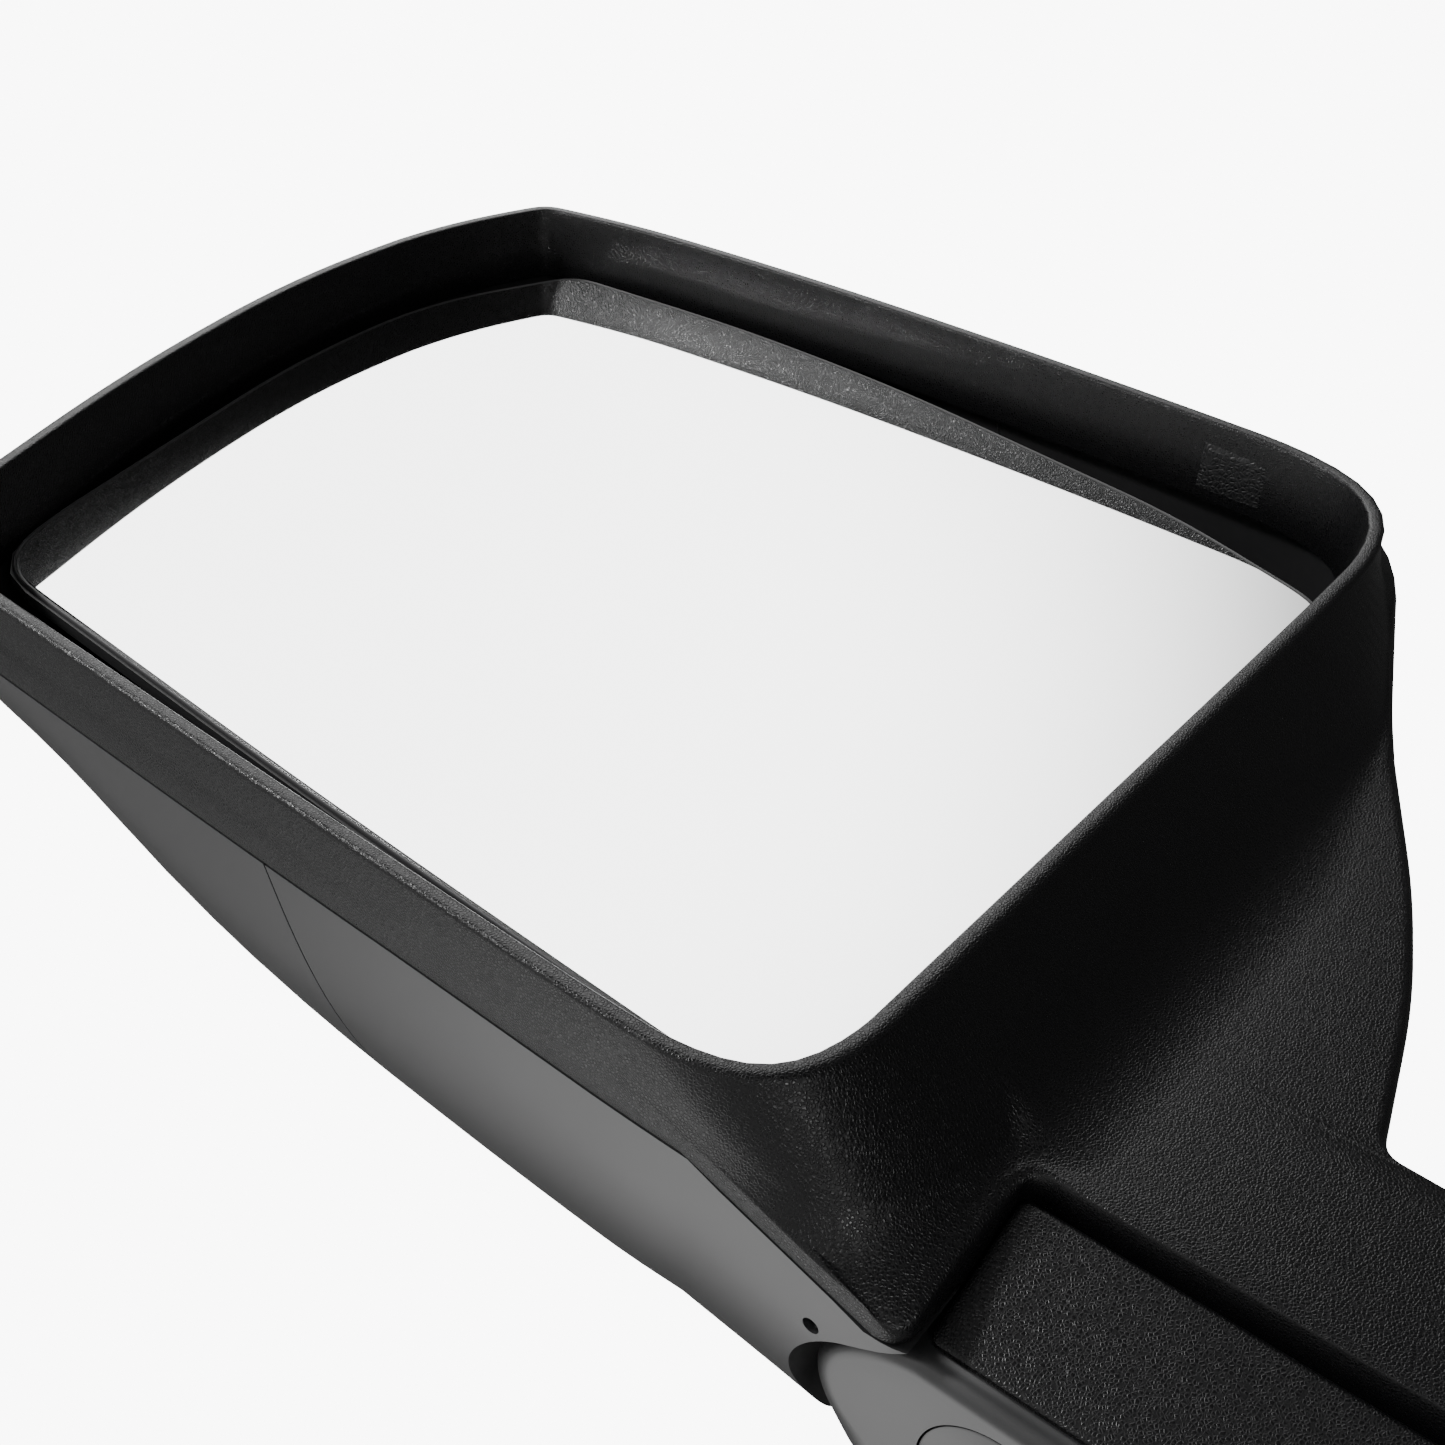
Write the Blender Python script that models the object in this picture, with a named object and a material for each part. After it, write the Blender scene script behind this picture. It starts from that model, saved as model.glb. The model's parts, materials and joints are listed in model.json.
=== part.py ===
"""Towing mirror, left-hand side, with a folding head and a powered glass.

Units in this file are millimetres until mesh_object() scales them to metres.
+X points inboard to the vehicle, +Y forward and +Z up.  The glass faces -Y.
The origin is the centre of the door plate's mounting face.
"""
import math

import bmesh
import bpy
import numpy as np
from mathutils import Matrix, Vector

MM = 0.001
GAP = 0.3                      # clearance between pieces that touch
PARTING_GAP = 0.45             # clearance along the bezel's uneven parting line
WALL = 2.8                     # thickness of the moulded shells

# Heights and depths of the head
LIP_Y = -55.0                  # rear lip of the bezel
FLANGE_Y = -35.0               # flat flange and extension beside the lip
PARTING_Y = -37.7              # bezel to front shell, along most of the rim
DEEP_PARTING_Y = -20.3         # the same parting beside the extension
DOME_DEPTH = 80.0              # front shell, from the parting to its crown
DOME_CENTRE = (-310.0, 103.0)  # X, Z of the crown of the front shell
LEAST_POWER = 1.6              # fullness of the front shell, least at its outboard end
FULL_POWER = 3.3               # and most
DOME_POWERS = [(-470, LEAST_POWER), (-410, 1.7), (-385, 2.1), (-350, 2.85), (-300, 3.05), (-250, 3.1),
               (-206, 2.9)]    # fullness along the bottom, by X
FULL_FROM_Z = -10.0            # it rises to its most between these heights
FULL_AT_Z = 25.0
SEAM_X = -308.0                # seam between the shell's halves, where Y is 0
SEAM_SLANT = 0.45              # its run inboard for each millimetre forward

# Fold pivot and arm
PIVOT_X = -185.4
ARM_RADIUS = 19.7              # round end of the arm, about the pivot
ARM_FRONT = 14.0               # flat front of the arm
ARM_BOTTOM = -15.0
ARM_TOP = 14.7
ARM_END_X = -20.0
ARM_ROUND = 2.0                # round along the arm's edges
BOSS_RADIUS = 11.0             # casting that stands up through the arm's top
PANEL_LOW_Y = -21.8            # rear face of the arm's rear panel, along its bottom
PANEL_TOP_Y = -31.5            # and along its top, where it slants out to the flange
PANEL_LEFT_X = -186.4
PANEL_RIGHT_X = -64.0
CAP_CENTRE = (-169.8, -2.8)    # X, Y of the round cap under the arm
CAP_RADIUS = 13.6
HEAD_FLOOR = 15.8              # underside of the head over the arm
SWEEP_RADIUS = 22.3            # recess in the head round the arm's end
FOLD_FORWARD = 75.0            # degrees that the head folds
OPEN_REARWARD = 30.0           # degrees that the recess opens behind the arm

# Glass and its drive
GLASS_Y = -38.5                # reflecting face of the glass
GLASS_THICK = 2.2
CARRIER_DEEP = 4.2             # back of the glass to the back of its carrier
GIMBAL = (-337.0, -22.0, 101.0)
LEVER = 38.0                   # distance from each jackscrew to the gimbal's axis
EAR_OFFSET = 25.5              # distance from the gimbal's centre to the ears that hold it
DRIVE_SCREW_RADIUS = 46.0      # circle of the three drive screws
HOUSING_RADIUS = 54.0
HOUSING_REAR_Y = -8.0
HOUSING_FRONT_Y = 11.0

# Door end
PLATE_Y = 50.0                 # half width of the door plate
PLATE_Z = 57.0                 # half height of the door plate
PLATE_THICK = 6.0
STUDS = [(-34.0, 38.0), (34.0, 38.0), (0.0, -12.0)]
ARM_SCREWS = [(-20.0, -17.0), (20.0, -17.0), (-20.0, 17.0), (20.0, 17.0)]
CONNECTOR_Z = -36.0


def clear_scene():
    for item in list(bpy.data.objects):
        bpy.data.objects.remove(item, do_unlink=True)


def material(name, color, roughness, metallic=0.0):
    """A Principled material, made once for each name."""
    found = bpy.data.materials.get(name)
    if found:
        return found
    made = bpy.data.materials.new(name)
    made.use_nodes = True
    shader = made.node_tree.nodes["Principled BSDF"]
    shader.inputs["Base Color"].default_value = (*color, 1.0)
    shader.inputs["Roughness"].default_value = roughness
    shader.inputs["Metallic"].default_value = metallic
    return made


def grained():
    return material("grained_plastic", (0.012, 0.012, 0.013), 0.55)


def satin():
    return material("satin_plastic", (0.02, 0.02, 0.021), 0.38)


def cast():
    return material("cast_aluminium", (0.42, 0.43, 0.44), 0.45, 1.0)


def steel():
    return material("zinc_steel", (0.55, 0.55, 0.53), 0.35, 1.0)


def nylon():
    return material("white_nylon", (0.75, 0.74, 0.70), 0.5)


def inner_plastic():
    return material("inner_plastic", (0.03, 0.03, 0.03), 0.6)


def rubber():
    return material("seal_rubber", (0.015, 0.015, 0.015), 0.85)


def mesh_object(name, points, faces, look, parent=None, smooth=40.0):
    """A mesh from millimetre points, faces turned outward, on its parent's axis."""
    mesh = bpy.data.meshes.new(name)
    mesh.from_pydata([Vector(p) * MM for p in points], [], faces)
    work = bmesh.new()
    work.from_mesh(mesh)
    bmesh.ops.remove_doubles(work, verts=work.verts, dist=1e-6)
    bmesh.ops.recalc_face_normals(work, faces=work.faces)
    work.to_mesh(mesh)
    work.free()
    mesh.shade_smooth()
    mesh.set_sharp_from_angle(angle=math.radians(smooth))
    made = bpy.data.objects.new(name, mesh)
    bpy.context.scene.collection.objects.link(made)
    if look:
        mesh.materials.append(look)
    if parent:
        made.parent = parent
        made.matrix_parent_inverse = Matrix.Translation(-parent.location)
    return made


def axis_empty(name, place):
    made = bpy.data.objects.new(name, None)
    made.location = Vector(place) * MM
    bpy.context.scene.collection.objects.link(made)
    return made


def loft(name, rings, look, parent=None, ring_closed=False, poles=None):
    """Skin rings of equal length; the ends are capped, fanned to poles, or joined."""
    count = len(rings[0])
    points = [p for ring in rings for p in ring]
    faces = []
    last = len(rings) if ring_closed else len(rings) - 1
    for i in range(last):
        low = i * count
        high = ((i + 1) % len(rings)) * count
        for j in range(count):
            k = (j + 1) % count
            faces.append((low + j, low + k, high + k, high + j))
    if poles:
        for pole, base in zip(poles, (0, (len(rings) - 1) * count)):
            tip = len(points)
            points.append(pole)
            faces += [(base + j, base + (j + 1) % count, tip) for j in range(count)]
    elif not ring_closed:
        faces.append(tuple(range(count)))
        faces.append(tuple(range(len(points) - count, len(points))))
    return mesh_object(name, points, faces, look, parent)


def box(name, low, high, look, parent=None):
    x0, y0, z0 = low
    x1, y1, z1 = high
    rings = [[(x, y0, z0), (x, y1, z0), (x, y1, z1), (x, y0, z1)] for x in (x0, x1)]
    return loft(name, rings, look, parent)


def along(axis, centre, radial, height, angle):
    """A point at a radius and height about an axis 'X', 'Y' or 'Z' through a centre."""
    c = radial * math.cos(angle)
    s = radial * math.sin(angle)
    local = {"X": (height, c, s), "Y": (s, height, c), "Z": (c, s, height)}[axis]
    return tuple(a + b for a, b in zip(centre, local))


def turned(name, profile, axis, centre, look, parent=None, sides=32):
    """Revolve a closed (radius, height) profile that stays off its axis."""
    rings = []
    for i in range(sides):
        angle = 2 * math.pi * i / sides
        rings.append([along(axis, centre, r, h, angle) for r, h in profile])
    return loft(name, rings, look, parent, ring_closed=True)


def rod(name, axis, centre, levels, look, parent=None, sides=24):
    """A solid round bar through (radius, height) levels, capped at both ends."""
    rings = []
    for r, h in levels:
        turn = [2 * math.pi * i / sides for i in range(sides)]
        rings.append([along(axis, centre, r, h, a) for a in turn])
    return loft(name, rings, look, parent)


def rounded(corners, steps=3):
    """A closed outline of (a, b, cut) corners, each cut replaced by a quadratic arc."""
    outline = []
    total = len(corners)
    for i, (a, b, cut) in enumerate(corners):
        here = Vector((a, b))
        before = Vector(corners[i - 1][:2])
        after = Vector(corners[(i + 1) % total][:2])
        start = here + (before - here).normalized() * cut
        end = here + (after - here).normalized() * cut
        for j in range(steps + 1):
            t = j / steps
            outline.append(start * (1 - t) ** 2 + here * 2 * t * (1 - t) + end * t ** 2)
    return outline


def inset(outline, distance):
    """Move each point of a counter-clockwise outline inward along its normal."""
    moved = []
    total = len(outline)
    for i, point in enumerate(outline):
        back = (point - outline[i - 1]).normalized()
        ahead = (outline[(i + 1) % total] - point).normalized()
        normal = Vector((-(back.y + ahead.y), back.x + ahead.x)).normalized()
        bend = max(0.5, normal.dot(Vector((-ahead.y, ahead.x))))
        moved.append(point + normal * distance / bend)
    return moved


def at_y(outline, depths):
    return [(p.x, y, p.y) for p, y in zip(outline, depths)]


def boolean(target, tool, operation):
    """Add an exact Boolean and turn its tool into a hidden wire guide."""
    step = target.modifiers.new(tool.name, "BOOLEAN")
    step.object = tool
    step.operation = operation
    step.solver = "EXACT"
    tool.hide_render = True
    tool.display_type = "WIRE"


def cut(target, *tools):
    for tool in tools:
        boolean(target, tool, "DIFFERENCE")


def add(target, *tools):
    for tool in tools:
        boolean(target, tool, "UNION")


# Each station of the head's rim: the lip, the foot of its wall and the outer edge,
# each as X, Z and corner cut, then the depths of wall foot, outer edge and parting.
RIM = [
    ((-443, -8, 24), (-443.5, -8.5, 24), (-444, -9, 24), (-46, -42, PARTING_Y)),
    ((-330, -13.6, 40), (-330, -14.1, 40), (-330, -14.6, 40), (-46, -42, PARTING_Y)),
    ((-250, -16.5, 8), (-243, -17, 8), (-236, -17.3, 8), (-46, -42, -37)),
    ((-210.6, -16.5, 24), (-196, -17.3, 14), (-187, -17.6, 5), (-34, -28, -25.2)),
    ((-210.6, 17, 4), (-190.5, 16, 4), (-187, 16, 4), (FLANGE_Y, FLANGE_Y, -25.2)),
    ((-210.6, 27, 2), (-189.5, 26, 2), (-105, 16, 7), (FLANGE_Y, FLANGE_Y, DEEP_PARTING_Y)),
    ((-210.6, 42, 2), (-189.5, 42, 2), (-105, 52, 9), (FLANGE_Y, FLANGE_Y, DEEP_PARTING_Y)),
    ((-210.6, 58, 3), (-189.5, 57, 3), (-147, 53.4, 5), (FLANGE_Y, FLANGE_Y, DEEP_PARTING_Y)),
    ((-210.6, 85, 8), (-189.5, 85, 8), (-157, 90, 12), (FLANGE_Y, FLANGE_Y, DEEP_PARTING_Y)),
    ((-210.6, 115, 8), (-189.5, 115, 8), (-168.5, 118, 12), (FLANGE_Y, FLANGE_Y, -22)),
    ((-210.6, 160, 9), (-191.5, 160, 9), (-190.4, 160, 9), (-36, -35.4, -29)),
    ((-211, 223, 46), (-208, 226, 50), (-206, 226.6, 54), (-46, -42, PARTING_Y)),
    ((-300, 225.6, 30), (-300, 226.2, 26), (-300, 226.8, 24), (-46, -42, PARTING_Y)),
    ((-380, 225.2, 30), (-380, 225.8, 30), (-380, 226.3, 30), (-46, -42, PARTING_Y)),
    ((-440, 221, 16), (-440.1, 221.5, 16), (-440.2, 222, 16), (-46, -42, PARTING_Y)),
    ((-470.5, 214.5, 4), (-471, 215, 4), (-471.4, 215.5, 4), (-46, -42, PARTING_Y)),
    ((-481, 186, 16), (-481.6, 186.1, 16), (-482, 186.2, 16), (-46, -42, PARTING_Y)),
    ((-484, 138, 30), (-484.6, 138, 30), (-485, 138, 30), (-46, -42, PARTING_Y)),
    ((-470, 70, 25), (-470.6, 70, 25), (-471, 70, 25), (-46, -42, PARTING_Y)),
]
EXTENSION = range(4, 8)        # stations that go round the extension


def spread(values, steps=3):
    """Repeat one value for each point that a rounded corner has."""
    return [v for v in values for _ in range(steps + 1)]


def rear_bezel(head, sweep):
    """The grained frame: lip, inner wall, flange and extension as one swept section."""
    lip = rounded([s[0] for s in RIM])
    foot = rounded([s[1] for s in RIM])
    edge = rounded([s[2] for s in RIM])
    foot_y = spread([s[3][0] for s in RIM])
    edge_y = spread([s[3][1] for s in RIM])
    parting = spread([s[3][2] for s in RIM])
    flat = [LIP_Y] * len(lip)
    rings = [
        at_y(inset(lip, 1.4), flat),
        at_y(lip, [y + 1.4 for y in flat]),
        at_y(foot, foot_y),
        at_y(edge, edge_y),
        at_y(edge, parting),
        at_y(inset(edge, WALL), parting),
        at_y(inset(edge, WALL), [y + 2.2 for y in edge_y]),
        at_y(inset(foot, 2.6), [y + 2.2 for y in foot_y]),
        at_y(inset(lip, 3.8), [y + 5.0 for y in flat]),
        at_y(inset(lip, 3.1), [y + 0.6 for y in flat]),
    ]
    bezel = loft("rear_bezel", rings, grained(), head, ring_closed=True)
    cut(bezel, sweep)
    return bezel


def dome_outline():
    """The front shell's outline: the rim's edge, straight across the extension."""
    corners = [list(s[2]) for s in RIM]
    for i, place in zip(EXTENSION, [(-163, 0), (-147, 14), (-147, 34), (-147, 53.4)]):
        corners[i] = [*place, 4]
    return rounded(corners)


def dome_power(point):
    """Fullness of the front shell where its rim passes a point.

    It falls to the boat-shaped outboard end, but stays full above the head's floor,
    so that the glass can swing inside.
    """
    power = float(np.interp(point.x, *zip(*DOME_POWERS)))
    lift = float(np.clip((point.y - FULL_FROM_Z) / (FULL_AT_Z - FULL_FROM_Z), 0, 1))
    lift = lift * lift * (3 - 2 * lift)
    return max(power, LEAST_POWER + (FULL_POWER - LEAST_POWER) * lift)


def dome_rings(outline, depths, shrink):
    """Rings of a cushion-shaped dome: depth = D (1 - r^p)^(1/p) from rim to crown."""
    centre = Vector(DOME_CENTRE)
    crown = PARTING_Y + DOME_DEPTH - shrink
    rings = []
    for r in (1.0, 0.985, 0.95, 0.88, 0.76, 0.58, 0.3):
        ring = []
        for point, rim_y in zip(outline, depths):
            power = dome_power(point)
            y = rim_y + (crown - rim_y) * (1 - r ** power) ** (1 / power)
            place = centre + (point - centre) * r
            ring.append((place.x, y, place.y))
        rings.append(ring)
    return rings


def extension_box(name, margin, rear_y, front_y):
    """The box-like front half of the extension beside the dome."""

    def outline(m):
        right = -105.0 - m
        left = -148.5 + m
        corner = max(1.0, 8.0 - m)
        low = 16 + m
        return rounded([(left, low, 1), (right, low, corner), (right, 52 - m, corner), (left, 53 - m, 1)])

    wide = outline(margin)
    narrow = outline(margin + 4.0)
    rings = [
        at_y(wide, [rear_y] * len(wide)),
        at_y(wide, [front_y - 4.0] * len(wide)),
        at_y(narrow, [front_y] * len(wide)),
    ]
    return loft(name, rings, None)


def sweep_prism(name, margin, top):
    """The space in the head that the arm passes through as the head folds."""
    radius = SWEEP_RADIUS + margin
    reach = 260.0
    rear_normal = -90.0 - OPEN_REARWARD
    front_normal = 90.0 + FOLD_FORWARD
    outline = []
    steps = 14
    for i in range(steps + 1):
        degrees = front_normal + (rear_normal + 360.0 - front_normal) * i / steps
        angle = math.radians(degrees)
        outline.append((PIVOT_X + radius * math.cos(angle), radius * math.sin(angle)))
    for normal, turn in ((rear_normal, 90.0), (front_normal, -90.0)):
        angle = math.radians(normal)
        along_arm = math.radians(normal + turn)
        outline.append((
            PIVOT_X + radius * math.cos(angle) + reach * math.cos(along_arm),
            radius * math.sin(angle) + reach * math.sin(along_arm),
        ))
    rings = [[(x, y, z) for x, y in outline] for z in (-60.0, top)]
    return loft(name, rings, None)


def front_shells(head, sweep):
    """Outboard and inboard halves of the smooth front shell, open behind."""
    outline = dome_outline()
    rim_y = spread([s[3][2] + PARTING_GAP for s in RIM])
    outer = dome_rings(outline, rim_y, 0.0)
    inner = dome_rings(inset(outline, WALL), rim_y, WALL)
    crown = PARTING_Y + DOME_DEPTH
    cx, cz = DOME_CENTRE
    skin = list(reversed(outer)) + inner
    tips = [(cx, crown, cz), (cx, crown - WALL, cz)]

    def beyond_seam(name, offset, far_x):
        near = [(SEAM_X + offset + SEAM_SLANT * y, y) for y in (-80.0, 80.0)]
        ring = near + [(far_x, 80.0), (far_x, -80.0)]
        return loft(name, [[(x, y, z) for x, y in ring] for z in (-80.0, 300.0)], None)

    outboard = loft("front_shell_outboard", skin, satin(), head, poles=tips)
    cut(outboard, beyond_seam("inboard_of_seam", -0.2, 0.0))

    middle = dome_rings(inset(outline, WALL / 2), [y + 0.6 for y in rim_y], WALL / 2)
    mid_tips = [(cx, DEEP_PARTING_Y, cz), (cx, crown - WALL / 2, cz)]
    recess = loft("arm_recess", middle, None, poles=mid_tips)
    boolean(recess, sweep_prism("sweep_with_wall", WALL, HEAD_FLOOR + WALL), "INTERSECT")
    side = extension_box("extension_front", 0.0, DEEP_PARTING_Y + GAP, 17.0)
    cut(side, extension_box("extension_hollow", WALL, -70.0, 14.0))
    screw_at = (-202.5, -18.0, 0)
    boss = rod("screw_boss", "Z", screw_at, [(5.0, -12.0), (5.0, 2.0)], None)
    access = rod("screw_access", "Z", screw_at, [(2.6, -30.0), (2.6, -3.0)], None)
    post_hole = rod("post_hole", "Z", (PIVOT_X, 0, 0), [(17.0, 10.0), (17.0, 22.0)], None)
    inboard = loft("front_shell_inboard", skin, satin(), head, poles=tips)
    add(inboard, recess, side, boss)
    cut(inboard, sweep, post_hole, access, beyond_seam("outboard_of_seam", 0.2, -600.0))
    screw = [(2.3, -13.0), (2.3, -11.0), (1.6, -10.9), (1.6, -3.6)]
    rod("shell_screw", "Z", screw_at, screw, steel(), head, 16)


def arm_outline():
    """Plan of the arm: a round end about the pivot, cut flat along the front."""
    outline = [Vector((ARM_END_X, -ARM_RADIUS)), Vector((ARM_END_X, ARM_FRONT))]
    first = 180.0 - math.degrees(math.asin(ARM_FRONT / ARM_RADIUS))
    steps = 14
    for i in range(steps + 1):
        angle = math.radians(first + (270.0 - first) * i / steps)
        outline.append(Vector((PIVOT_X + ARM_RADIUS * math.cos(angle), ARM_RADIUS * math.sin(angle))))
    return outline


def arm_level(z):
    """The arm's plan at a height, drawn in by a 2 mm round along both edges."""
    away = 0.0
    for depth in (z - ARM_BOTTOM, ARM_TOP - z):
        if depth < ARM_ROUND:
            away += ARM_ROUND - math.sqrt(ARM_ROUND ** 2 - (ARM_ROUND - depth) ** 2)
    ring = []
    for point in arm_outline():
        hub = Vector((min(max(point.x, PIVOT_X), ARM_END_X), 0.0))
        moved = point + (hub - point).normalized() * away
        ring.append((moved.x, moved.y, z))
    return ring


def arm_pieces(root):
    """The arm's smooth shell, grained rear panel, round cap and cast frame."""
    low = [ARM_BOTTOM + v for v in (0.0, 0.3, 0.9, ARM_ROUND)]
    high = [ARM_TOP - v for v in (ARM_ROUND, 0.9, 0.3, 0.0)]
    shell = loft("arm_lower_shell", [arm_level(z) for z in low + high], satin(), root)
    turns = [math.radians(90.0 + 15.0 * i) for i in range(13)]
    plan = [(0.0, -30.0), (0.0, 11.6)]
    plan += [(PIVOT_X + 11.6 * math.cos(a), 11.6 * math.sin(a)) for a in turns]
    plan.append((PIVOT_X + 1.0, -30.0))
    cavity = loft("arm_cavity", [[(x, y, z) for x, y in plan] for z in (-12.2, 12.0)], None)
    boss_hole = rod("boss_hole", "Z", (PIVOT_X, 0, 0), [(11.6, 5.0), (11.6, 30.0)], None)
    cap_hole = rod("cap_hole", "Z", (*CAP_CENTRE, 0), [(CAP_RADIUS + GAP, -30.0), (CAP_RADIUS + GAP, -5.0)],
                   None, None, 40)
    cut(shell, cavity, boss_hole, cap_hole)
    front = -ARM_RADIUS - GAP
    bottom = ARM_BOTTOM + 1.0
    top = ARM_TOP - 0.4
    profile = [
        (PANEL_LOW_Y + 0.8, bottom), (PANEL_LOW_Y, bottom + 1.6), (PANEL_TOP_Y, top - 1.2),
        (PANEL_TOP_Y + 1.4, top), (front, top), (front, bottom),
    ]
    rings = [[(x, y, z) for y, z in profile] for x in (PANEL_LEFT_X, PANEL_RIGHT_X)]
    loft("arm_rear_panel", rings, grained(), root)
    rod("pivot_cap", "Z", (*CAP_CENTRE, 0),
        [(CAP_RADIUS - 0.6, ARM_BOTTOM), (CAP_RADIUS, ARM_BOTTOM + 0.6), (CAP_RADIUS, ARM_BOTTOM + 2.8)],
        satin(), root, 40)
    arm_frame(root)


def arm_frame(root):
    """The casting that carries the head: bar, door flange, boss and pivot post."""
    bar = box("arm_frame", (-186.0, -BOSS_RADIUS, -8.0), (-10.0, 10.5, 8.0), cast(), root)
    flange = box("arm_flange", (-14.0, -27.0, -24.0), (-PLATE_THICK - GAP, 27.0, 24.0), None)
    boss = rod("arm_boss", "Z", (PIVOT_X, 0, 0), [(BOSS_RADIUS, -8.2), (BOSS_RADIUS, 20.0)], None, None, 32)
    post = rod("arm_post", "Z", (PIVOT_X, 0, 0), [(8.0, 0.0), (8.0, 71.0), (7.0, 72.0)], None)
    add(bar, flange, boss, post)
    for i, (y, z) in enumerate(ARM_SCREWS):
        cut(bar, rod(f"frame_hole_{i}", "X", (0, y, z), [(3.3, -20.0), (3.3, 0.0)], None, None, 16))


def pivot_stack(root, head):
    """Thrust rings, bush, spring, washer and nut, from the boss up the post."""
    centre = (PIVOT_X, 0, 0)

    def ring(name, inner, outer, low, high, look, parent, sides=32):
        return turned(name, [(inner, low), (outer, low), (outer, high), (inner, high)],
                      "Z", centre, look, parent, sides)

    ring("lower_thrust_ring", 8.4, 14.5, 20.3, 22.6, nylon(), root)
    ring("upper_thrust_ring", 8.4, 14.5, 22.9, 25.3, nylon(), head)
    bush = [(8.3, 25.7), (10.7, 25.7), (10.7, 36.6), (14.0, 36.6), (14.0, 38.4), (8.3, 38.4)]
    turned("pivot_bushing", bush, "Z", centre, nylon(), head)
    ring("spring_washer", 8.4, 15.0, 62.4, 64.4, steel(), root)
    nut = rod("retaining_nut", "Z", centre, [(13.5, 64.7), (13.5, 71.5)], steel(), root, 6)
    cut(nut, rod("nut_bore", "Z", centre, [(8.4, 60.0), (8.4, 80.0)], None, None, 32))
    spring_wire = 1.6
    spring_radius = 11.6
    turns = 4.0
    per_turn = 12
    sides = 6
    rings = []
    count = int(turns * per_turn)
    for i in range(count + 1):
        share = i / count
        angle = 2 * math.pi * turns * share
        height = 40.4 + (60.4 - 40.4) * share
        ring_points = []
        for j in range(sides):
            around = 2 * math.pi * j / sides
            radius = spring_radius + spring_wire * math.cos(around)
            lift = height + spring_wire * math.sin(around)
            ring_points.append(along("Z", centre, radius, lift, angle))
        rings.append(ring_points)
    loft("pivot_spring", rings, steel(), root)


def drive_screw_places():
    """Centres of the three drive screws, on a circle about the gimbal."""
    gx, _, gz = GIMBAL
    radius = DRIVE_SCREW_RADIUS
    turns = [math.radians(90 + 120 * i) for i in range(3)]
    return [(gx + radius * math.cos(a), 0, gz + radius * math.sin(a)) for a in turns]


def head_bracket(head):
    """The casting inside the head: hub on the post, arm, and plate behind the drive."""
    gx, _, gz = GIMBAL
    bracket = rod("head_bracket", "Y", (gx, 0, gz), [(52.0, 14.6), (52.0, 18.0)], cast(), head, 40)
    web = box("bracket_web", (gx + 8, 14.7, 26.6), (gx + 46, 17.9, gz - 20), None)
    beam = box("bracket_beam", (gx + 20, 7.0, 26.5), (PIVOT_X, 17.9, 36.3), None)
    hub = rod("bracket_hub", "Z", (PIVOT_X, 0, 0), [(16.0, 25.6), (16.0, 36.3)], None, None, 32)
    add(bracket, web, beam, hub)
    cut(bracket, rod("hub_bore", "Z", (PIVOT_X, 0, 0), [(11.0, 20.0), (11.0, 40.0)], None, None, 32))
    cut(bracket, rod("bracket_window", "Y", (gx, 0, gz), [(30.0, 10.0), (30.0, 30.0)], None, None, 32))
    for i, centre in enumerate(drive_screw_places()):
        cut(bracket, rod(f"bracket_hole_{i}", "Y", centre, [(2.3, 5.0), (2.3, 30.0)], None, None, 12))


def drive_screws(head, cover):
    """Three screws that hold the drive to the bracket."""
    for i, centre in enumerate(drive_screw_places()):
        cut(cover, rod(f"cover_hole_{i}", "Y", centre, [(2.3, 5.0), (2.3, 30.0)], None, None, 12))
        rod(f"drive_screw_{i + 1}", "Y", centre, [(1.9, 11.4), (1.9, 18.3), (4.0, 18.3), (4.0, 20.6)],
            steel(), head, 12)


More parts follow.
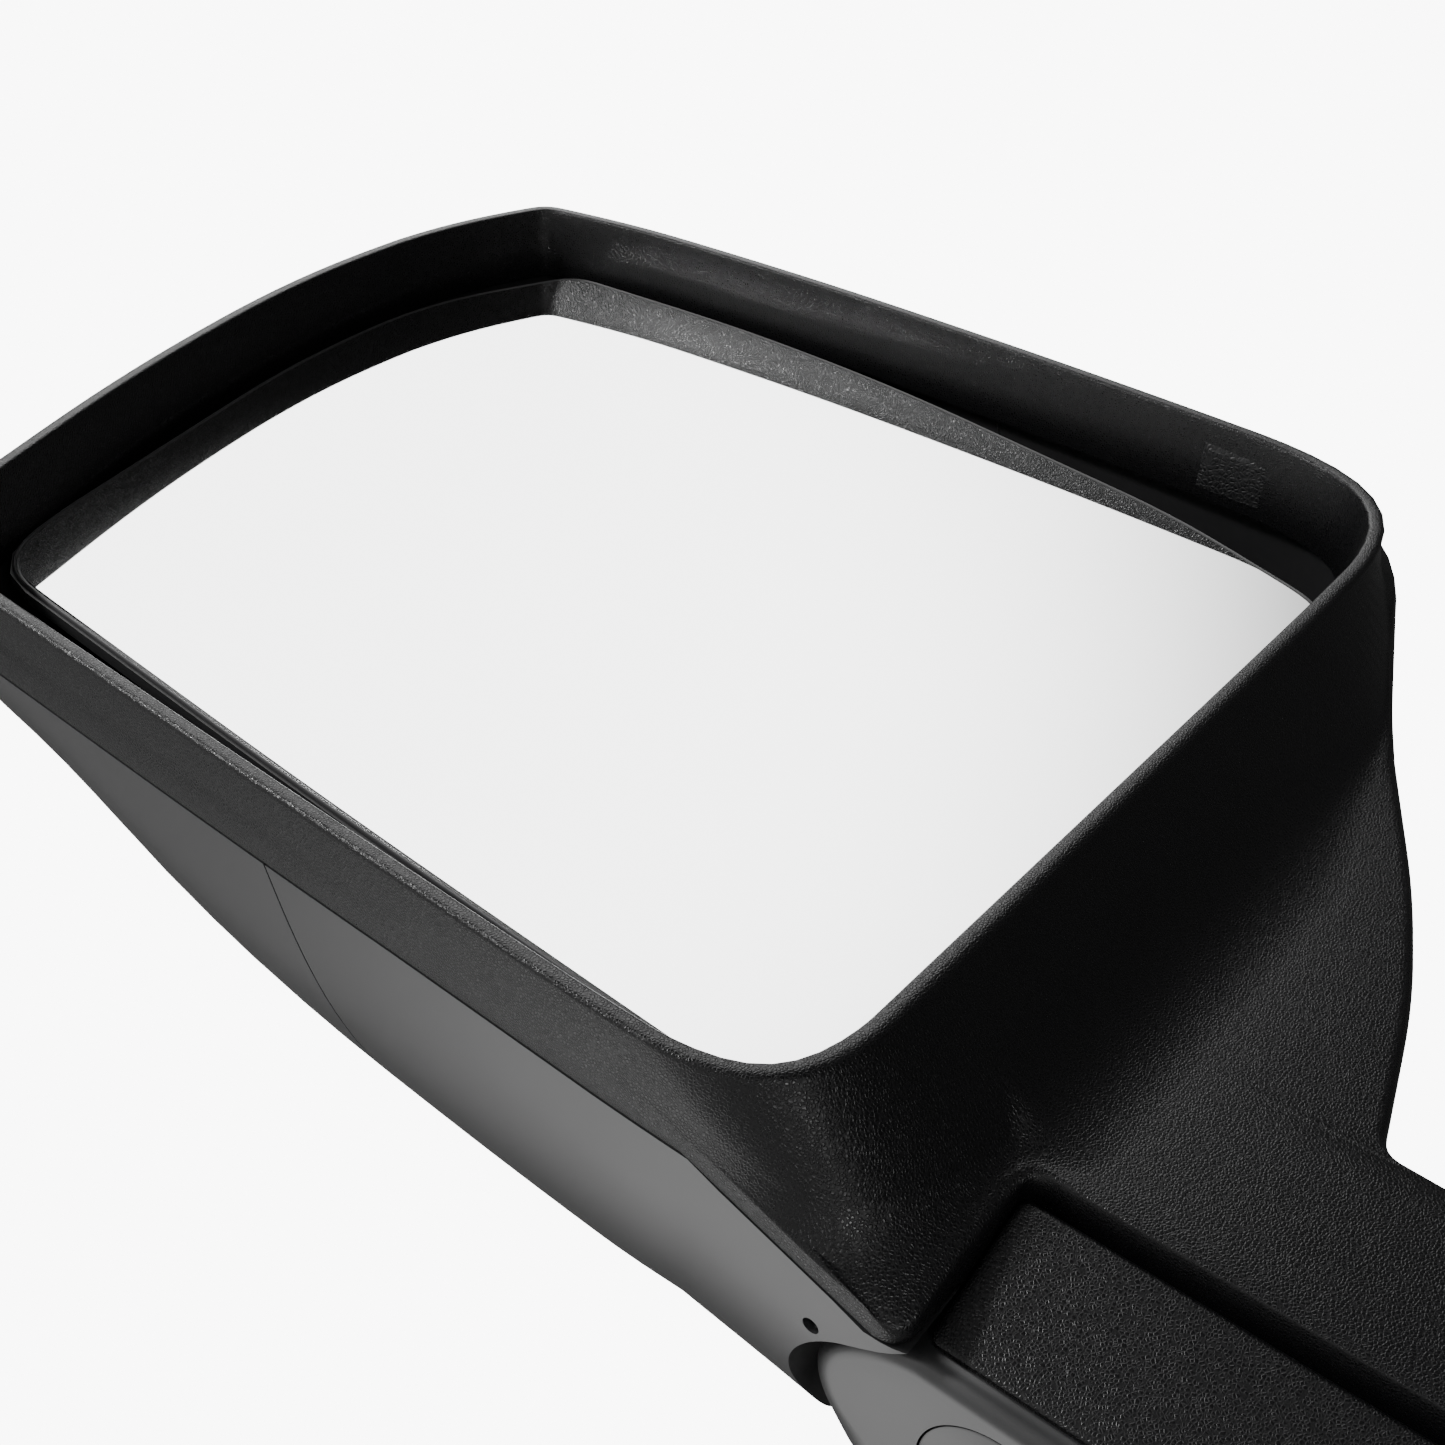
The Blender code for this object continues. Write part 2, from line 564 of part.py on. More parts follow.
def drive(head, gimbal, glass, movers):
    """Housing, cover, motors, gimbal ring, and the two jackscrews with their gears."""
    gx, gy, gz = GIMBAL
    rear = HOUSING_REAR_Y
    front = HOUSING_FRONT_Y
    middle = (gx, 0, gz)
    wide = HOUSING_RADIUS
    housing = rod("actuator_housing", "Y", middle, [(wide - 2, rear), (wide, rear + 2), (wide, front)],
                  inner_plastic(), head, 40)
    for i, side in enumerate((-1, 1)):
        z = gz + side * EAR_OFFSET
        add(housing, box(f"gimbal_ear_{i}", (gx - 4, gy - 3.5, z - 3), (gx + 4, rear + 1, z + 3), None))
    hollow = [(wide - 2.5, rear + 2.5), (wide - 2.5, front + 5)]
    cut(housing, rod("housing_hollow", "Y", middle, hollow, None, None, 40))
    cut(housing, rod("ear_bore", "Z", (gx, gy, gz), [(2.4, -40.0), (2.4, 40.0)], None, None, 16))
    places = {"pan": (gx - LEVER, 0, gz), "tilt": (gx, 0, gz - LEVER)}
    for name, place in places.items():
        cut(housing, rod(f"{name}_hole", "Y", place, [(4.7, -20.0), (4.7, 0.0)], None, None, 20))
        rod(f"{name}_plunger", "Y", place,
            [(2.6, -30.6), (4.5, -28.2), (4.5, -24.8), (3.9, -23.4), (4.1, -22.0), (4.1, 9.0)],
            nylon(), movers[f"{name}_plunger"], 20)
        radii = [10.4 if i % 4 < 2 else 9.2 for i in range(48)]
        turns = [2 * math.pi * i / 48 for i in range(48)]
        rings = [[along("Y", place, r, h, a) for r, a in zip(radii, turns)] for h in (-4.0, 4.0)]
        gear = loft(f"{name}_gear", rings, nylon(), movers[f"{name}_gear"])
        cut(gear, rod(f"{name}_gear_bore", "Y", place, [(4.5, -10.0), (4.5, 10.0)], None, None, 20))
    cover = rod("actuator_cover", "Y", middle, [(wide, front + GAP), (wide, front + 3.3)],
                inner_plastic(), head, 40)
    for name, place in places.items():
        cut(cover, rod(f"cover_bore_{name}", "Y", place, [(5.0, 5.0), (5.0, 30.0)], None, None, 20))
    drive_screws(head, cover)
    worm = [(3.4, -8.0), (3.4, 8.0), (7.6, 8.2), (7.6, 31.0), (5.0, 32.0)]
    rod("pan_motor", "Z", (gx - 23.0, 2.2, gz), worm, steel(), head, 20)
    rod("tilt_motor", "X", (gx, 2.2, gz - 23.0), worm, steel(), head, 20)
    ring = turned("gimbal_ring", [(15.5, -3.0), (20.0, -3.0), (20.0, 3.0), (15.5, 3.0)], "Y",
                  (gx, gy, gz), nylon(), gimbal, 32)
    for i, (axis, side) in enumerate([("Z", -1), ("Z", 1), ("X", -1), ("X", 1)]):
        pin = [(2.0, side * 18.0), (2.0, side * 29.5)]
        add(ring, rod(f"gimbal_pin_{i}", axis, GIMBAL, pin, None, None, 14))


def glass_corners():
    """Outline of the glass, in the plane of the reflecting face."""
    return [(-443, 12.8, 14), (-330, 3.4, 40), (-214, -3.4, 20), (-214, 187, 14), (-262, 202.2, 16),
            (-350, 213.4, 24), (-400, 214.2, 20), (-455.5, 209.6, 7), (-472.8, 168, 22),
            (-470, 118, 20), (-450.5, 35, 7)]


def glass_pieces(glass):
    """The glass, its heater pad and the carrier that clips round them."""
    outline = rounded(glass_corners())

    def plate(name, levels, look):
        loops = [(inset(outline, margin), y) for margin, y in levels]
        return loft(name, [at_y(loop, [y] * len(loop)) for loop, y in loops], look, glass)

    mirror = material("mirror_silver", (0.9, 0.9, 0.9), 0.03, 1.0)
    glass_front = GLASS_Y + GLASS_THICK
    plate("mirror_glass", [(0.0, GLASS_Y), (0.0, glass_front)], mirror)
    heater = material("heater_foil", (0.5, 0.22, 0.05), 0.5)
    plate("heater_pad", [(4.0, glass_front + GAP), (4.0, glass_front + 1.1)], heater)
    back = glass_front + CARRIER_DEEP
    tray = [(-1.5, GLASS_Y + 0.8), (-1.5, GLASS_Y + 2.3), (-1.3, glass_front + 1.7), (1.5, back)]
    carrier = plate("glass_carrier", tray, inner_plastic())
    pocket = plate("carrier_pocket", [(-GAP, GLASS_Y - 5.0), (-GAP, glass_front + 1.4)], None)
    gx, gy, gz = GIMBAL
    for i, side in enumerate((-1, 1)):
        x = gx + side * EAR_OFFSET
        add(carrier, box(f"carrier_ear_{i}", (x - 3, back - 0.7, gz - 4), (x + 3, gy + 3.5, gz + 4), None))
    for name, place in {"pan": (gx - LEVER, 0, gz), "tilt": (gx, 0, gz - LEVER)}.items():
        socket = rod(f"{name}_socket", "Y", place, [(8.0, back - 0.7), (7.6, -24.5)], None, None, 20)
        add(carrier, socket)
        bore = [(6.2, back - 0.2), (6.2, -20.0)]
        cut(carrier, rod(f"{name}_socket_bore", "Y", place, bore, None, None, 20))
    cut(carrier, pocket)
    cut(carrier, rod("carrier_bore", "X", GIMBAL, [(2.4, -40.0), (2.4, 40.0)], None, None, 16))


def rounded_frame(half_y, half_z, corner, x):
    outline = rounded([(-half_y, -half_z, corner), (half_y, -half_z, corner),
                       (half_y, half_z, corner), (-half_y, half_z, corner)])
    return [(x, p.x, p.y) for p in outline]


def door_end(root):
    """Door plate, seal, flared cover, studs, screws and the wiring connector."""
    plate = loft("door_plate", [rounded_frame(PLATE_Y, PLATE_Z, 18, x) for x in (-PLATE_THICK, 0.0)],
                 cast(), root)
    for i, (y, z) in enumerate(STUDS):
        cut(plate, rod(f"stud_hole_{i}", "X", (0, y, z), [(4.3, -3.6), (4.3, 5.0)], None, None, 20))
    for i, (y, z) in enumerate(ARM_SCREWS):
        cut(plate, rod(f"plate_hole_{i}", "X", (0, y, z), [(3.3, -10.0), (3.3, -1.4)], None, None, 16))
    window = box("connector_window", (-20, -14.3, CONNECTOR_Z - 8.3), (20, 14.3, CONNECTOR_Z + 8.3), None)
    cut(plate, window)
    section = [(0.4, -5.8), (3.2, -5.8), (3.2, 0.0), (0.4, 0.0)]
    seal = [rounded_frame(PLATE_Y + out, PLATE_Z + out, 18 + out / 3, x) for out, x in section]
    loft("door_gasket", seal, rubber(), root, ring_closed=True)
    steps = [(-62, 24.6, 17.6, 5), (-46, 26.5, 20.0, 6), (-26, 37.0, 36.0, 12), (-6.4, 52.0, 59.0, 19)]
    outer = [rounded_frame(y, z, c, x) for x, y, z, c in steps]
    inner = [rounded_frame(y - 2.4, z - 2.4, c - 1, x) for x, y, z, c in reversed(steps)]
    loft("foot_cover", outer + inner, grained(), root, ring_closed=True)
    for i, (y, z) in enumerate(STUDS):
        levels = [(4.0, -3.3), (4.0, 25.0), (3.2, 26.0)]
        rod(f"mounting_stud_{i + 1}", "X", (0, y, z), levels, steel(), root, 16)
    for i, (y, z) in enumerate(ARM_SCREWS):
        levels = [(2.9, -1.8), (2.9, -14.3), (5.4, -14.3), (5.4, -18.6)]
        rod(f"arm_screw_{i + 1}", "X", (0, y, z), levels, steel(), root, 16)
    plug = box("wiring_connector", (-16, -14, CONNECTOR_Z - 8), (12, 14, CONNECTOR_Z + 8),
               inner_plastic(), root)
    cut(plug, box("connector_mouth", (-4, -12, CONNECTOR_Z - 6), (20, 12, CONNECTOR_Z + 6), None))


def main():
    clear_scene()
    gx, _, gz = GIMBAL
    root = axis_empty("base_axis", (0, 0, 0))
    head = axis_empty("fold_axis", (PIVOT_X, 0, 0))
    gimbal = axis_empty("pan_axis", GIMBAL)
    glass = axis_empty("tilt_axis", GIMBAL)
    movers = {
        "pan_plunger": axis_empty("pan_plunger_axis", (gx - LEVER, 0, gz)),
        "pan_gear": axis_empty("pan_gear_axis", (gx - LEVER, 0, gz)),
        "tilt_plunger": axis_empty("tilt_plunger_axis", (gx, 0, gz - LEVER)),
        "tilt_gear": axis_empty("tilt_gear_axis", (gx, 0, gz - LEVER)),
    }
    sweep = sweep_prism("arm_sweep", 0.0, HEAD_FLOOR)
    rear_bezel(head, sweep)
    front_shells(head, sweep)
    head_bracket(head)
    arm_pieces(root)
    pivot_stack(root, head)
    drive(head, gimbal, glass, movers)
    glass_pieces(glass)
    door_end(root)


main()
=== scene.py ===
import json
import math

import bmesh
import bpy
import numpy as np
from mathutils import Matrix, Vector


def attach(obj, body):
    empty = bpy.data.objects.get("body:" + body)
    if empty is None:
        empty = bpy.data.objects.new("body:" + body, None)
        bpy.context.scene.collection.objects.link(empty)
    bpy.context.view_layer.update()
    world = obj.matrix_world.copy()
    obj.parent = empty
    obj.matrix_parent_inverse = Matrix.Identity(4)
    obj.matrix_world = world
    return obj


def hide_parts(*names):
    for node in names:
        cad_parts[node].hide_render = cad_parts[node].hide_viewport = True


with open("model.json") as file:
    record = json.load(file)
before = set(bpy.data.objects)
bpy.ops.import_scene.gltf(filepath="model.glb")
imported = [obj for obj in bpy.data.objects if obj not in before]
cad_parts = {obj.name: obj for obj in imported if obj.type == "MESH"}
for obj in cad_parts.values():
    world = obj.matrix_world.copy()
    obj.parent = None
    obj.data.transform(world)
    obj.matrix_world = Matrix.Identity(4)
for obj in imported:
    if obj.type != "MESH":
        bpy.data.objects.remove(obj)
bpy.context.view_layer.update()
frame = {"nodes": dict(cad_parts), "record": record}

MM = 0.001
LIP_Y = -55.0                      # rear lip of the frame
LEDGE_Y = -35.8                    # where the frame's inner skirt ends
PARTING_Y = -37.7                  # frame to front shell, along most of the rim
FLANGE_Y = -35.0
DEEP_PARTING_Y = -20.3             # the same parting beside the extension
SHELL_GAP = 0.45
WALL = 2.8
DOME_DEPTH = 80.0
DOME_CENTRE = np.array([-310.0, 103.0])
LEAST_POWER = 1.6                  # fullness of the front shell at its outboard end
FULL_POWER = 3.3                   # and higher up, where the glass swings inside it
DOME_POWERS = [(-470, LEAST_POWER), (-410, 1.7), (-385, 2.1), (-350, 2.85), (-300, 3.05), (-250, 3.1),
               (-206, 2.9)]
FULL_FROM_Z = -10.0
FULL_AT_Z = 25.0
SEAM_X = -308.0
SEAM_SLANT = 0.45
PIVOT_X = -185.4
GLASS_Y = -38.5
GLASS_THICK = 2.2
SEAM_HALF_GAP = 0.22
HEAD_FLOOR = 15.8                  # underside of the head over the arm
SWEEP_RADIUS = 22.0                # recess in the head round the arm's end
SWEEP_FROM = -120.0                # degrees that the recess opens through, about the pivot
SWEEP_TO = 165.0
SCREW_PLACE = (-202.5, -18.0)      # X, Y of the screw under the head's nose
EXTENSION_LEFT = -148.5
EXTENSION_RIGHT = -105.0
EXTENSION_LOW = 16.0
EXTENSION_TOP = 52.0
ARM_RADIUS = 19.7
ARM_BOTTOM = -15.0
ARM_TOP = 14.7
ARM_END_X = -20.0
REAR_ROUND = 3.0                   # round along the arm's rear edge
FRONT_ROUND = 12.0                 # and along its front edge
POST_POCKET_RADIUS = 11.6          # opening in the arm's top for the pivot's boss
CAP_CENTRE = (-169.8, -2.8)
CAP_RADIUS = 13.6
FOOT_SMALL_X = -62.0               # the foot cover's small end
FOOT_LENGTH = 55.6
FOOT_WALL = 2.4
PAD_X = (-266.0, -240.5)           # coarse pad on the frame's upper inner wall
PAD_Y = (-50.0, -37.0)
FLOOR_Z = -0.62                    # metres
LENS_MM = 47.34
SENSOR_MM = 36.0
SKY_AIM = (-0.62, -0.56, 0.55)     # towards the brightest part of the studio


# ---------------------------------------------------------------- meshes

def grid_faces(rows, columns, wrap_rows, wrap_columns):
    """Quads of a grid of points, joined round either way where it wraps."""
    i = np.arange(rows if wrap_rows else rows - 1)[:, None]
    j = np.arange(columns if wrap_columns else columns - 1)[None, :]
    up = (i + 1) % rows
    on = (j + 1) % columns
    quads = [i * columns + j, i * columns + on, up * columns + on, up * columns + j]
    return np.stack(np.broadcast_arrays(*quads), -1).reshape(-1, 4)


def outward(mesh):
    """Merge doubles and turn every face outward."""
    work = bmesh.new()
    work.from_mesh(mesh)
    bmesh.ops.remove_doubles(work, verts=work.verts, dist=1e-6)
    bmesh.ops.dissolve_degenerate(work, edges=work.edges, dist=1e-7)
    bmesh.ops.recalc_face_normals(work, faces=work.faces)
    if work.calc_volume(signed=True) < 0:
        bmesh.ops.reverse_faces(work, faces=work.faces)
    work.to_mesh(mesh)
    work.free()


def solid(name, rings, close="caps", smooth=38.0):
    """A closed mesh from rings (rows, columns, 3): capped, joined, or fanned to a pole."""
    rings = np.asarray(rings, float)
    rows, columns = rings.shape[:2]
    points = rings.reshape(-1, 3) * MM
    faces = grid_faces(rows, columns, close == "ring", True).tolist()
    if close == "caps":
        faces.append(list(range(columns)))
        faces.append(list(range((rows - 1) * columns, rows * columns)))
    mesh = bpy.data.meshes.new(name)
    mesh.from_pydata(points.tolist(), [], faces)
    outward(mesh)
    mesh.shade_smooth()
    mesh.set_sharp_from_angle(angle=math.radians(smooth))
    made = bpy.data.objects.new(name, mesh)
    bpy.context.scene.collection.objects.link(made)
    return made


def settle(piece, body, look, slot, *nodes):
    """Give a piece its material and its body, and hide the frame nodes that it stands for."""
    piece.data.materials.clear()
    piece.data.materials.append(look)
    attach(piece, body)
    if nodes:
        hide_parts(*nodes)


def apply_steps(piece, smooth=38.0):
    """Replace a piece's mesh by what its modifiers make of it."""
    seen = piece.evaluated_get(bpy.context.evaluated_depsgraph_get())
    mesh = bpy.data.meshes.new_from_object(seen)
    piece.modifiers.clear()
    piece.data = mesh
    outward(mesh)
    mesh.shade_smooth()
    mesh.set_sharp_from_angle(angle=math.radians(smooth))


def combine(piece, tools, operation):
    for tool in tools:
        step = piece.modifiers.new(tool.name, "BOOLEAN")
        step.object = tool
        step.operation = operation
        step.solver = "EXACT"
    apply_steps(piece)
    for tool in tools:
        bpy.data.objects.remove(tool)


# ---------------------------------------------------------------- outlines

def corner_path(corners, steps=8, run=6):
    """Outline of (a, b, cut) corners: each cut is a quadratic arc, joined by straights."""
    table = np.array(corners, float)
    place = table[:, :2]
    cut = table[:, 2:3]
    back = np.roll(place, 1, 0) - place
    ahead = np.roll(place, -1, 0) - place
    start = place + back / np.linalg.norm(back, axis=1, keepdims=True) * cut
    end = place + ahead / np.linalg.norm(ahead, axis=1, keepdims=True) * cut
    t = np.linspace(0, 1, steps + 1)[None, :, None]
    arc = start[:, None] * (1 - t) ** 2 + place[:, None] * 2 * t * (1 - t) + end[:, None] * t ** 2
    u = (np.arange(1, run) / run)[None, :, None]
    line = end[:, None] * (1 - u) + np.roll(start, -1, 0)[:, None] * u
    return np.concatenate([arc, line], 1).reshape(-1, 2)


def station_values(values, steps=8, run=6):
    """One value for each point of corner_path: level on arcs, straight between them."""
    level = np.array(values, float)
    arc = np.repeat(level[:, None], steps + 1, 1)
    u = (np.arange(1, run) / run)[None, :]
    line = level[:, None] * (1 - u) + np.roll(level, -1)[:, None] * u
    return np.concatenate([arc, line], 1).reshape(-1)


def inset(outline, distance):
    """Move an outline's points inward along the normal of its neighbours' chord."""
    chord = np.roll(outline, -1, 0) - np.roll(outline, 1, 0)
    chord /= np.linalg.norm(chord, axis=1, keepdims=True)
    normal = np.stack([-chord[:, 1], chord[:, 0]], 1)
    return outline + normal * distance


def soften(values, width):
    """Average round a closed row of values or points with a Gaussian of a width in points."""
    reach = int(3 * width)
    weight = np.exp(-0.5 * (np.arange(-reach, reach + 1) / width) ** 2)
    weight /= weight.sum()
    return sum(w * np.roll(values, k, 0) for w, k in zip(weight, range(-reach, reach + 1)))


def at_y(outline, y):
    depth = np.broadcast_to(y, len(outline))
    return np.stack([outline[:, 0], depth, outline[:, 1]], 1)


def rounded_section(controls, cuts, steps):
    """Rings of a closed section whose corners are cut back and bridged by quadratic arcs.

    Each cut is held under 0.46 of the shorter side beside it.
    """
    rings = []
    count = len(controls)
    for k in range(count):
        here = controls[k]
        back = controls[k - 1] - here
        ahead = controls[(k + 1) % count] - here
        back_length = np.linalg.norm(back, axis=1, keepdims=True)
        ahead_length = np.linalg.norm(ahead, axis=1, keepdims=True)
        cut = np.minimum(cuts[k], 0.46 * np.minimum(back_length, ahead_length))
        start = here + back / back_length * cut
        end = here + ahead / ahead_length * cut
        for t in np.linspace(0, 1, steps[k] + 1):
            rings.append(start * (1 - t) ** 2 + here * 2 * t * (1 - t) + end * t ** 2)
    return np.stack(rings)


# Each station of the head's rim: the lip, the foot of its wall and the outer edge,
# each as X, Z and corner cut, then the depths of wall foot, outer edge and parting.
PLAIN = (-46, -42, PARTING_Y)
RIM = [
    ((-443, -8, 24), (-443.5, -8.5, 24), (-444, -9, 24), PLAIN),
    ((-330, -13.6, 40), (-330, -14.1, 40), (-330, -14.6, 40), PLAIN),
    ((-250, -16.5, 8), (-243, -17, 8), (-236, -17.3, 8), (-46, -42, -37)),
    ((-210.6, -16.5, 24), (-196, -17.3, 14), (-187, -17.6, 5), (-34, -28, -25.2)),
    ((-210.6, 17, 4), (-190.5, 16, 4), (-187, 16, 4), (FLANGE_Y, FLANGE_Y, -25.2)),
    ((-210.6, 27, 2), (-189.5, 26, 2), (-105, 16, 7), (FLANGE_Y, FLANGE_Y, DEEP_PARTING_Y)),
    ((-210.6, 42, 2), (-189.5, 42, 2), (-105, 52, 9), (FLANGE_Y, FLANGE_Y, DEEP_PARTING_Y)),
    ((-210.6, 58, 3), (-189.5, 57, 3), (-147, 53.4, 5), (FLANGE_Y, FLANGE_Y, DEEP_PARTING_Y)),
    ((-210.6, 85, 8), (-189.5, 85, 8), (-157, 90, 12), (FLANGE_Y, FLANGE_Y, DEEP_PARTING_Y)),
    ((-210.6, 115, 8), (-189.5, 115, 8), (-168.5, 118, 12), (FLANGE_Y, FLANGE_Y, -22)),
    ((-210.6, 160, 9), (-191.5, 160, 9), (-190.4, 160, 9), (-36, -35.4, -29)),
    ((-211.5, 222.6, 38), (-220, 226, 28), (-219, 226.6, 30), PLAIN),
    ((-300, 225.6, 30), (-300, 226.2, 26), (-300, 226.8, 24), PLAIN),
    ((-380, 225.2, 30), (-380, 225.8, 30), (-380, 226.3, 30), PLAIN),
    ((-440, 221, 16), (-440.1, 221.5, 16), (-440.2, 222, 16), PLAIN),
    ((-470.5, 214.5, 5), (-471, 215, 5), (-471.4, 215.5, 5), PLAIN),
    ((-481, 186, 18), (-481.6, 186.1, 18), (-482, 186.2, 18), PLAIN),
    ((-484, 138, 30), (-484.6, 138, 30), (-485, 138, 30), PLAIN),
    ((-470, 70, 30), (-470.6, 70, 30), (-471, 70, 30), PLAIN),
]
DOME_BESIDE_ARM = [(-163, 0, 6), (-147, 14, 6), (-147, 34, 4), (-147, 53.4, 4)]


def rear_frame():
    """The grained frame: skirt, lip, outer wall, flange and parting as one section.

    The skirt is short beside the glass's inboard edge, which swings back there.
    """
    lip = soften(corner_path([s[0] for s in RIM]), 1.2)
    foot = soften(corner_path([s[1] for s in RIM]), 1.2)
    edge = corner_path([s[2] for s in RIM])
    foot_y = soften(station_values([s[3][0] for s in RIM]), 2.0)
    edge_y = soften(station_values([s[3][1] for s in RIM]), 2.0)
    parting = station_values([s[3][2] for s in RIM])
    wide = soften(station_values([0, 0, 0, 1, 1, 1, 1, 1, 1, 1, 0, 0, 0, 0, 0, 0, 0, 0, 0]), 3.0)
    corner = soften(station_values([0] * 11 + [1] + [0] * 7), 3.0)[:, None]
    foot = foot * (1 - corner) + (0.31 * lip + 0.69 * edge) * corner
    short = soften(station_values([0] * 3 + [1] * 8 + [0] * 8), 2.0)
    ledge = LEDGE_Y * (1 - short) + (LIP_Y + 7.5) * short
    draft = 1.7 * (1 - short[:, None])
    controls = [
        at_y(inset(lip, 3.9 + draft), ledge),
        at_y(inset(lip, 3.9), LIP_Y + 5.0),
        at_y(inset(lip, 3.0), LIP_Y + 0.4),
        at_y(inset(lip, -0.1), LIP_Y + 0.2),
        at_y(foot, foot_y),
        at_y(edge, edge_y),
        at_y(edge, parting),
        at_y(inset(edge, 2.4), parting),
        at_y(inset(foot, 2.9), foot_y + 2.4),
        at_y(inset(lip, 2.4 + draft), ledge),
    ]
    lip_cut = 1.3 + 0.6 * wide[:, None]
    foot_cut = 1.0 + 11.0 * wide[:, None]
    cuts = [0.5, 1.5, 0.7, lip_cut, foot_cut, 2.6, 0.25, 0.25, 0.6, 0.4]
    steps = [2, 2, 3, 5, 8, 5, 2, 2, 2, 2]
    rings = rounded_section(controls, cuts, steps)
    first = sum(steps[:4]) + 4
    for row in range(first, first + steps[4] + 1):
        rings[row] = soften(rings[row], 2.5)
    return solid("frame_skin", rings, "ring", 50.0)


# ---------------------------------------------------------------- front shell

def dome(trim, shrink, far=40):
    """Cushion-shaped shell: depth = D (1 - r^p)^(1/p), r from the rim to the crown.

    The power p is low at the boat-shaped outboard end.  Rings lose the rim's corners
    towards the crown, so that no creases run in from them.
    """
    corners = [s[2] for s in RIM]
    corners[4:8] = DOME_BESIDE_ARM
    outline = soften(corner_path(corners, 6, 5), 0.8)
    outline = inset(outline, trim) if trim else outline
    rim_y = station_values([s[3][2] + SHELL_GAP for s in RIM], 6, 5)
    calm = soften(outline, 16.0)
    t = np.linspace(0, 1, far)
    r = (1 - t ** 2.6)[:-1, None]
    power = np.interp(outline[:, 0], *zip(*DOME_POWERS))
    lift = np.clip((outline[:, 1] - FULL_FROM_Z) / (FULL_AT_Z - FULL_FROM_Z), 0, 1)
    lift = LEAST_POWER + (FULL_POWER - LEAST_POWER) * lift ** 2 * (3 - 2 * lift)
    power = soften(np.maximum(power, lift), 2.0)[None]
    crown = PARTING_Y + DOME_DEPTH - shrink
    depth = rim_y + (crown - rim_y) * (1 - r ** power) ** (1 / power)
    blend = ((1 - r) ** 1.1)[:, :, None]
    base = (1 - blend) * outline[None] + blend * calm[None]
    place = DOME_CENTRE + (base - DOME_CENTRE) * r[:, :, None]
    rings = np.stack([place[..., 0], depth, place[..., 1]], -1)
    tip = np.tile([DOME_CENTRE[0], crown, DOME_CENTRE[1]], (1, rings.shape[1], 1))
    return np.concatenate([rings, tip])


def shell_skin(name):
    """Outer and inner domes joined along the rim, closed at their crowns."""
    outer = dome(0.0, 0.0)
    inner = dome(WALL, WALL)
    return solid(name, np.concatenate([outer[::-1], inner]), "open")


def prism(name, outline, low, high):
    """A plan outline carried straight up from one height to another."""
    ring = np.array(outline, float)
    rings = [np.column_stack([ring, np.full(len(ring), z)]) for z in (low, high)]
    return solid(name, rings)


def arm_sweep(name, margin, top):
    """The space in the head that the arm passes through as the head folds."""
    radius = SWEEP_RADIUS + margin
    rear, front = math.radians(SWEEP_FROM), math.radians(SWEEP_TO)
    turns = np.linspace(front, rear + 2 * math.pi, 40)
    outline = [(PIVOT_X + radius * math.cos(a), radius * math.sin(a)) for a in turns]
    for normal, turn in ((rear, math.pi / 2), (front, -math.pi / 2)):
        outline.append((
            PIVOT_X + radius * math.cos(normal) + 260 * math.cos(normal + turn),
            radius * math.sin(normal) + 260 * math.sin(normal + turn),
        ))
    return prism(name, outline, -60.0, top)


def tube(name, axis, centre, levels, sides=48, close="caps"):
    """A round bar about an axis, through (radius, height) levels."""
    turn = np.linspace(0, 2 * math.pi, sides, endpoint=False)
    rings = []
    for radius, height in levels:
        a = radius * np.cos(turn)
        b = radius * np.sin(turn)
        h = np.full(sides, float(height))
        order = {"X": (h, a, b), "Y": (b, h, a), "Z": (a, b, h)}[axis]
        rings.append(np.stack(order, 1) + np.array(centre, float))
    return solid(name, rings, close)


def extension_front(name, margin, rear_y, front_y):
    """The box-like front half of the extension, rounded along its front edges."""
    left = EXTENSION_LEFT + margin
    right = EXTENSION_RIGHT - margin
    low = EXTENSION_LOW + margin
    top = EXTENSION_TOP - margin
    corner = max(1.0, 8.0 - margin)
    corners = [(left, low, 1), (right, low, corner), (right, top, corner), (left, top + 1, 1)]
    wide = corner_path(corners, 6, 3)
    rings = [at_y(wide, rear_y)]
    for turn in np.linspace(0, math.pi / 2, 7):
        rings.append(at_y(inset(wide, 5 * (1 - math.cos(turn))), front_y - 5 + 5 * math.sin(turn)))
    return solid(name, rings)


def beyond_seam(name, offset, far_x):
    """Everything on one side of the slanting seam."""
    near = [(SEAM_X + offset + SEAM_SLANT * y, y) for y in (-80.0, 80.0)]
    return prism(name, near + [(far_x, 80.0), (far_x, -80.0)], -80.0, 300.0)


